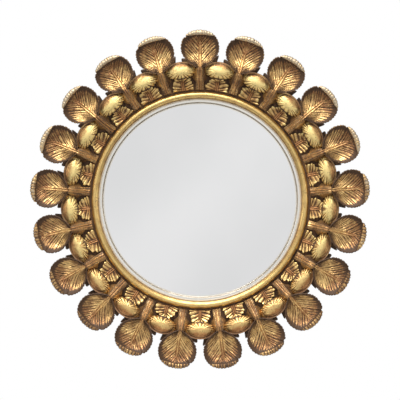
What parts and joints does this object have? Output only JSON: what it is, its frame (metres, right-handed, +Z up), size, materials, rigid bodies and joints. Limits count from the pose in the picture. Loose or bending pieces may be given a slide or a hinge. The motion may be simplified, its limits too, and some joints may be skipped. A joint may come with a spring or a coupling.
{
  "type": "convex wall mirror",
  "caption": "Round convex wall mirror in a carved giltwood frame of cupped and domed leaves, hung by a swinging D-ring on its back.",
  "frame": {"origin": "centre of the flat back of the ring and backboard, the side that faces the wall", "axes": "+Z up, -Y the way the mirror faces, +X to the viewer's right"},
  "size_m": [0.5988, 0.0677, 0.5972],
  "materials": {
    "leaf_gold": "carved wood, gessoed, red bole and worn gold leaf with a dark patina in the hollows",
    "bead_gold": "turned wood, burnished gold leaf",
    "ring_wood": "turned wood, dark stained",
    "board_wood": "bare plywood",
    "mirror": "silvered convex glass",
    "brass": "plain brass, lightly tarnished",
    "screw_steel": "plain zinc",
    "felt": "dark pressed felt"
  },
  "bodies": {
    "frame": {"carcass_ring": "ring_wood", "bead_ring": "bead_gold", "mirror_glass": "mirror", "backboard": "board_wood", "outer_leaf_01": "leaf_gold", "outer_leaf_02": "leaf_gold", "outer_leaf_03": "leaf_gold", "outer_leaf_04": "leaf_gold", "outer_leaf_05": "leaf_gold", "outer_leaf_06": "leaf_gold", "outer_leaf_07": "leaf_gold", "outer_leaf_08": "leaf_gold", "outer_leaf_09": "leaf_gold", "outer_leaf_10": "leaf_gold", "outer_leaf_11": "leaf_gold", "outer_leaf_12": "leaf_gold", "outer_leaf_13": "leaf_gold", "outer_leaf_14": "leaf_gold", "outer_leaf_15": "leaf_gold", "outer_leaf_16": "leaf_gold", "outer_leaf_17": "leaf_gold", "outer_leaf_18": "leaf_gold", "outer_leaf_19": "leaf_gold", "outer_leaf_20": "leaf_gold", "outer_leaf_21": "leaf_gold", "inner_leaf_01": "leaf_gold", "inner_leaf_02": "leaf_gold", "inner_leaf_03": "leaf_gold", "inner_leaf_04": "leaf_gold", "inner_leaf_05": "leaf_gold", "inner_leaf_06": "leaf_gold", "inner_leaf_07": "leaf_gold", "inner_leaf_08": "leaf_gold", "inner_leaf_09": "leaf_gold", "inner_leaf_10": "leaf_gold", "inner_leaf_11": "leaf_gold", "inner_leaf_12": "leaf_gold", "inner_leaf_13": "leaf_gold", "inner_leaf_14": "leaf_gold", "inner_leaf_15": "leaf_gold", "inner_leaf_16": "leaf_gold", "inner_leaf_17": "leaf_gold", "inner_leaf_18": "leaf_gold", "inner_leaf_19": "leaf_gold", "inner_leaf_20": "leaf_gold", "inner_leaf_21": "leaf_gold", "backboard_screw_1": "screw_steel", "backboard_screw_2": "screw_steel", "backboard_screw_3": "screw_steel", "backboard_screw_4": "screw_steel", "backboard_screw_5": "screw_steel", "backboard_screw_6": "screw_steel", "hanger_screw": "screw_steel", "hanger_strap": "brass", "bumper_left": "felt", "bumper_right": "felt"},
    "ring": {"hanger_ring": "brass"}
  },
  "joints": [
    {"name": "ring_swing", "type": "hinge", "parent": "frame", "child": "ring", "pos_m": [0, 0.00325, 0.2286], "axis": [1, 0, 0], "range_deg": [0, 180]}
  ]
}
